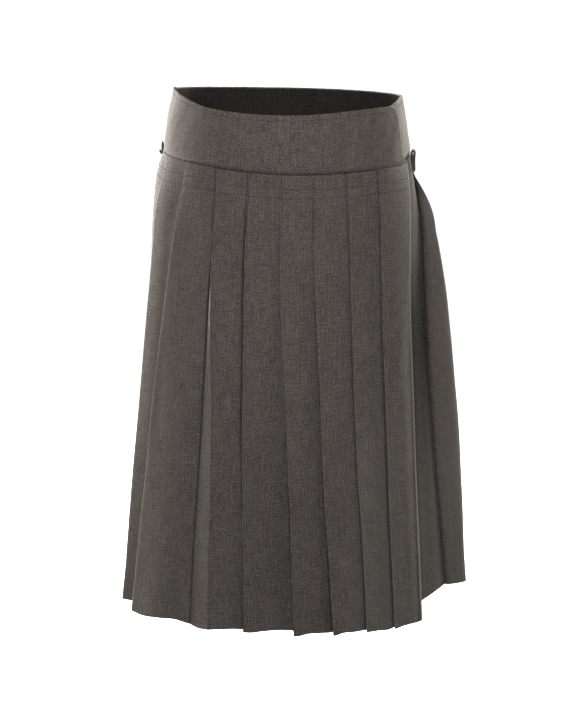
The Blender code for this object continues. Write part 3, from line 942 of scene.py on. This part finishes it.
def shadeBack(row, pressed):
    # painted light and shade: the roll's front is painted lighter than its hollow and the under layer beside
    # it, which get painted shade
    below, length, shade = row.below, row.length, backShade
    inside, edge = row.folds[0]
    grow = ramp(below, *shade["span"])
    fromHollow = length[inside:edge] - length[inside]
    high = 1 + band(below, shade["rollHigh"]) + shade["rollLowLight"] * ramp(below, *shade["rollLow"])
    pressed[inside:edge] += grow * shade["rollLight"] * high * ramp(fromHollow, 0.0, shade["rollLightRun"])
    fade = 1 - shade["rollDarkLoss"] * ramp(below, *shade["rollDarkFade"])
    pressed[inside:edge] -= grow * fade * band(fromHollow, shade["rollDark"])
    freeEdge = apronArc(row.drop)
    near = ramp(row.arcs[:inside], freeEdge, shade["underRun"])
    fade = 1 - shade["underLoss"] * ramp(below, *shade["underFade"])
    pressed[:inside] -= grow * fade * shade["underDark"] * near
    place = placeOnSkirt(frontEdges, np.array([freeEdge]), 0.5 * apron["edgeStand"], below, row.arcList)
    beyond = row.points[:inside + 1, 0] - place[0, 0]
    across = np.maximum(beyond[:-1], -0.002) / max(beyond[-1], 0.004)
    for sizes, span in shade["strips"]:
        pressed[:inside] += ramp(below, *span) * band(across, sizes)


def skirtPiece(name, edges, sectionAt, creases, material, hang, shade, strong, roll):
    points, marks, outer, inner = [], [], [], []
    for below in skirtRows():
        row = ClothRow(below, edges, sectionAt, creases, roll)
        hang(row)
        row.measure()
        # painted light and shade, with the worn light of the fold edges
        pressed = shadeFolds(row, strong)
        shade(row, pressed)
        count = len(pressed)
        thicker = pleated["hemThicker"] if below > skirtLength - pleated["hemTurn"] else 0.0
        points.append(row.points)
        marks.append(np.column_stack([row.across, np.full(count, row.drop), pressed]))
        outer.append(np.full(count, pleated["half"] + 0.3 * thicker))
        inner.append(np.full(count, pleated["half"] + 0.7 * thicker))
    return clothShell(name, points, outer, inner, marks, material)


def sideSeamAt(drop, arcBefore=0.0):
    stand = sideSeam["stand"] * min((drop - cut["seamDrop"]) / sideSeam["rise"], 1.0)
    return (arcBefore + atHeights(sideSeam["arc"], drop), stand)


def frontSection(drop):
    share = (drop - cut["seamDrop"]) / skirtLength
    last = (apronArc(drop), share * apron["edgeStand"])
    return pleatedSection(frontPleats, drop, sideSeamAt(drop), last, hold=sideSeam["hold"])


def backSection(drop):
    wholeTurn = np.interp(2 * math.pi, arcBearings, arcsAt(drop))
    first = (atHeights(underLayer["edge"], drop), -underLayer["sink"])
    last = sideSeamAt(drop, wholeTurn - cut["seamGap"])
    return pleatedSection(backPleats, drop, first, last, underLayer["points"])


frontSkirt = skirtPiece("frontSkirt", frontEdges, frontSection, frontCreases, skirtWool,
                        hangFront, shadeFront, foldShade["strong"], 0.0)
backSkirt = skirtPiece("backSkirt", backEdges, backSection, backCreases, backWool,
                       hangBack, shadeBack, {}, firstRoll)
for piece, node, wide in ((frontSkirt, "front_skirt", 0.66), (backSkirt, "back_skirt", 0.83)):
    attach(piece, "root")
    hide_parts(node)
print("pleats made")

# Tabs of folded cloth at the hips, each as the path of its edge: share of the height down from
# the top, distance off the hip in mm and half the cloth's thickness in mm
tabShape = {
    "width": 0.01,
    "columns": 11,
    "cuts": 4,
    "radius": 0.14,  # of the hip there, for lengths along the cloth
    # each tab's shade is painted shade on its outside
    "left": {
        "bearing": 84.0, "top": -0.0632, "height": 0.0236, "shade": 0.95,
        "path": [
            (1, 1.7, 0.45), (0.85, 1.6, 0.75), (0.65, 1.6, 0.95), (0.45, 1.8, 1.15), (0.32, 2.1, 1.25),
            (0.23, 2.2, 1.15), (0.14, 2, 0.9), (0.04, 2.6, 0.8), (0, 4, 0.8), (0.04, 5.3, 0.85),
            (0.13, 5.8, 1), (0.22, 5.3, 1.2), (0.3, 4.6, 1.25), (0.38, 4.2, 1.25), (0.5, 3.8, 1.15),
            (0.65, 3.4, 0.95), (0.85, 2.9, 0.75), (1, 2.5, 0.45),
        ],
    },
    "right": {
        "bearing": -91.0, "top": -0.0575, "height": 0.012, "shade": 0.0,
        "path": [
            (0.78, 5.2, 0.4), (0.86, 4.5, 0.55), (0.95, 3.6, 0.6), (1, 2.6, 0.65), (0.96, 1.9, 0.7),
            (0.85, 1.9, 0.95), (0.65, 2.2, 1.2), (0.4, 2.5, 1.25), (0.18, 2.8, 1.2), (0.04, 3, 0.9),
            (0, 3.1, 0.5),
        ],
    },
}


def tabPiece(name, sizes, node):
    corners = np.array(sizes["path"]) * (1, mm, mm)
    fine = refine(corners, [tabShape["cuts"]] * (len(corners) - 1))
    turn = tabShape["width"] / 2 / smooth(-sizes["top"], form["drop"], form["plusX"])
    across = math.radians(sizes["bearing"]) + np.linspace(-turn, turn, tabShape["columns"])
    level = np.ones(len(across))
    points, marks = [], []
    for down, out, _ in fine:
        z = sizes["top"] - down * sizes["height"]
        x, y = onForm(across, -z, out)
        points.append(np.column_stack([x, y, z * level]))
        wide, far = tabShape["radius"] * across, (out - z) * level
        # the tab's painted shade goes in as a negative pressed value
        marks.append(np.column_stack([wide, far, -sizes["shade"] * level]))
    half = np.repeat(fine[:, 2:3], len(across), axis=1)
    piece = clothShell(name, points, half, half, marks, tabWool)
    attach(piece, "root")
    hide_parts(node)


tabPiece("leftHipTab", tabShape["left"], "hip_tab_left")
tabPiece("rightHipTab", tabShape["right"], "hip_tab_right")
print("hip tabs made")

# Machine stitching: short threads laid on the cloth
thread = {
    "rim": {"length": 0.0024, "pitch": 0.0034, "radius": 0.00026},
    "row": {"length": 0.0019, "pitch": 0.0031, "radius": 0.00045},
    # the seam's thread lies in the seam's groove: stitching, and also a dark line that stands for the
    # groove's shadow
    "seam": {"length": 0.004, "pitch": 0.0034, "radius": 0.00028},
    "seamOut": (-0.0001, -0.0004),  # in front and at the sides
    "rimInset": 0.0062,
    "points": 400,  # along the yoke
    "step": 0.0004,  # to each side, for a thread's direction
    "reach": 0.01,  # off the cloth, for its normal
    "colour": (0.014, 0.012, 0.011),
    "twistScale": 2500.0,
    "sides": 6,
    "rings": [
        # place along the thread, width and rise off the cloth
        (-0.5, 0.45, -0.35),
        (-0.34, 0.95, 0.35),
        (0.0, 1.0, 0.6),
        (0.34, 0.95, 0.35),
        (0.5, 0.45, -0.35),
    ],
}


def threadMaterial():
    n = Nodes("thread")
    place = n.add("ShaderNodeTexCoord")
    twist = n.add("ShaderNodeTexNoise")
    twist.inputs["Scale"].default_value = thread["twistScale"]
    n.link(place.outputs["Object"], twist.inputs["Vector"])
    light = tuple(1.9 * value for value in thread["colour"])
    n.link(n.mix(twist.outputs["Fac"], thread["colour"], light), n.shader.inputs["Base Color"])
    setInputs(n.shader, {"Roughness": 0.7, "Specular IOR Level": 0.2})
    return n.material


def along(values, steps, at):
    return np.column_stack([np.interp(at, steps, values[:, k]) for k in range(3)])


def stitchRow(name, path, sizes):
    # one thread for each step of a path of positions and normals
    places, normals = path
    steps = lengthsAlong(places)
    middles = np.arange(sizes["pitch"], steps[-1] - sizes["pitch"], sizes["pitch"])
    before, centre, after = (along(places, steps, middles + k * thread["step"]) for k in (-1, 0, 1))
    tangent = unit(after - before)
    up = unit(along(normals, steps, middles))
    across = np.cross(up, tangent)
    sides, rings = thread["sides"], thread["rings"]
    verts, faces = [], []
    for r, (place, width, rise) in enumerate(rings):
        for k in range(sides):
            angle = 2 * math.pi * k / sides
            wide = sizes["radius"] * width * math.cos(angle)
            high = sizes["radius"] * (width * math.sin(angle) + rise)
            verts.append(centre + tangent * place * sizes["length"] + across * wide + up * high)
            if r:
                a, b = r * sides + k, r * sides + (k + 1) % sides
                faces.append([a - sides, b - sides, b, a])
    caps = [list(range(sides))[::-1], list(range((len(rings) - 1) * sides, len(rings) * sides))]
    firsts = range(0, len(centre) * len(verts), len(verts))  # each thread's first vertex
    faces = [[first + i for i in face] for shapes in (faces, caps) for first in firsts for face in shapes]
    piece = meshObject(name, np.stack(verts, axis=1).reshape(-1, 3), faces, sewing)
    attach(piece, "root")


def withNormals(placesAt, out):
    # places and their outward normals, from a function of the distance off the form
    places, beyond = (placesAt(far) for far in (out, out + thread["reach"]))
    return places, beyond - places


def yokePath(degrees, z, out):
    bearings = np.radians(degrees)
    return withNormals(lambda far: np.column_stack([*onForm(bearings, -z, far), z]), out)


def rimPath(edges, first, last, lift):
    degrees = np.linspace(first, last, thread["points"])
    rim, seam = rimAndSeam(edges, degrees)
    z = rim - thread["rimInset"]
    return yokePath(degrees, z, yokeOut(degrees, -z, z - seam, lift(degrees)) + yoke["half"])


def seamPath(edges, first, last, lift):
    degrees = np.linspace(first, last, thread["points"])
    z = rimAndSeam(edges, degrees)[1] - cut["seamGap"] / 2
    near, far = thread["seamOut"]
    return yokePath(degrees, z, far + (near - far) * atFront(degrees) + lift(degrees))


def topOfSection(section, arcs):
    # the outermost layer of a section over each arc
    top = np.full(len(arcs), -1.0)
    for a, b in zip(section, section[1:]):
        low, high = (a, b) if a[0] < b[0] else (b, a)
        if high[0] - low[0] > 1e-9:
            inside = (arcs >= low[0]) & (arcs <= high[0])
            here = low[1] + (arcs - low[0]) / (high[0] - low[0]) * (high[1] - low[1])
            top = np.where(inside, np.maximum(top, here), top)
    return top


def pleatRowPath(edges, sectionAt, creases, below, skip):
    drop = cut["seamDrop"] + below
    section = sectionAt(drop)[0]
    section = refine(section, [4] * (len(section) - 1))
    arcs = np.arange(section[0][0] + skip, section[-1][0] - 0.002, 0.0005)
    arcList = arcsAt(drop)
    degrees = np.degrees(np.interp(arcs, arcList, arcBearings))
    out = turnedIn(topOfSection(section, arcs), below, degrees) + relief(creases, arcs, below)
    return withNormals(lambda far: placeOnSkirt(edges, arcs, far, below, arcList), out + pleated["half"])


sewing = threadMaterial()
wrapTop, wrapFoot = yoke["wrapEdge"]
for name, edges, rimSpan, seamSpan, lift in (
    ("front", frontEdges, (sideEnd[0] + 1, wrapTop - 0.5), (sideEnd[0], wrapFoot), noLift),
    ("back", backEdges, (wrapTop + 2, backEnd[0] - 1), (wrapFoot, backEnd[0]), underYokeLift),
):
    stitchRow(f"{name}RimStitching", rimPath(edges, *rimSpan, lift), thread["rim"])
    # the seam's thread is both stitching and the painted shadow of the seam's groove
    stitchRow(f"{name}SeamStitchingAndShadow", seamPath(edges, *seamSpan, lift), thread["seam"])
for k, below in enumerate(pleated["stitchRows"]):
    for name, edges, sectionAt, creases, skip in (
        ("front", frontEdges, frontSection, frontCreases, 0.002),
        ("back", backEdges, backSection, backCreases, 0.075),
    ):
        path = pleatRowPath(edges, sectionAt, creases, below, skip)
        stitchRow(f"{name}PleatStitching{k + 1}", path, thread["row"])
print("stitching made")

# Floor, world and lights
studio = {
    "floorHeight": -1.15,
    "floorSize": 6.0,
    "floorColour": (0.92, 0.92, 0.915),
    "floorGlow": 0.9,
    "ambient": 0.11,
    "ambientColour": (0.96, 0.98, 1.0),
    "backdrop": 1.15,  # what the camera sees behind the floor
    "lights": [
        # name, place, size, power, colour
        ("front", (-0.38, -1.95, 1.15), 1.3, 43.5, (0.98, 0.985, 1.0)),
        ("fill", (1.7, -1.1, 1.1), 1.2, 9.5, (1.0, 0.98, 0.95)),
        ("left", (-2.15, 1.15, -0.4), 1.0, 92.0, (1.0, 0.95, 0.88)),
        ("right", (1.85, 1.5, 0.3), 1.0, 66.0, (1.0, 0.95, 0.88)),
        ("leftBack", (-1.25, 2.2, -0.4), 0.8, 50.0, (1.0, 0.96, 0.9)),
        ("rightBack", (0.8, 2.4, 0.3), 0.8, 48.0, (1.0, 0.96, 0.9)),
    ],
    "aim": (0.0, 0.0, -0.2),
}


def makeStudio():
    half, z = studio["floorSize"] / 2, studio["floorHeight"]
    corners = np.array([(-half, -half, z), (half, -half, z), (half, half, z), (-half, half, z)])
    n = Nodes("paleFloor")
    setInputs(n.shader, {"Base Color": (*studio["floorColour"], 1.0), "Roughness": 0.9,
                         "Emission Color": (1.0, 1.0, 1.0, 1.0), "Emission Strength": studio["floorGlow"]})
    floor = meshObject("floor", corners, [[0, 1, 2, 3]], n.material)
    floor.visible_diffuse = False
    floor.visible_glossy = False
    for name, place, size, power, colour in studio["lights"]:
        data = bpy.data.lights.new(name, "AREA")
        data.shape = "SQUARE"
        data.size = size
        data.energy = power
        data.color = colour
        lamp = addObject(name, data)
        lamp.location = place
        lamp.rotation_euler = (Vector(studio["aim"]) - Vector(place)).to_track_quat("-Z", "Y").to_euler()
        lamp.visible_camera = False


def makeWorld():
    # white to the camera, a soft dim light to everything else
    world = bpy.data.worlds.new("studioWhite")
    bpy.context.scene.world = world
    world.use_nodes = True
    tree = world.node_tree
    tree.nodes.clear()
    kinds = ("LightPath", "MixShader", "OutputWorld")
    rays, mix, out = (tree.nodes.new(f"ShaderNode{kind}") for kind in kinds)
    tree.links.new(rays.outputs["Is Camera Ray"], mix.inputs[0])
    lights = ((studio["ambientColour"], studio["ambient"]), ((1, 1, 1), studio["backdrop"]))
    for i, (colour, strength) in enumerate(lights):
        light = tree.nodes.new("ShaderNodeBackground")
        setInputs(light, {"Color": (*colour, 1.0), "Strength": strength})
        tree.links.new(light.outputs[0], mix.inputs[1 + i])
    tree.links.new(mix.outputs[0], out.inputs[0])


makeStudio()
makeWorld()
bpy.context.scene.view_settings.view_transform = "Standard"
print("studio set")
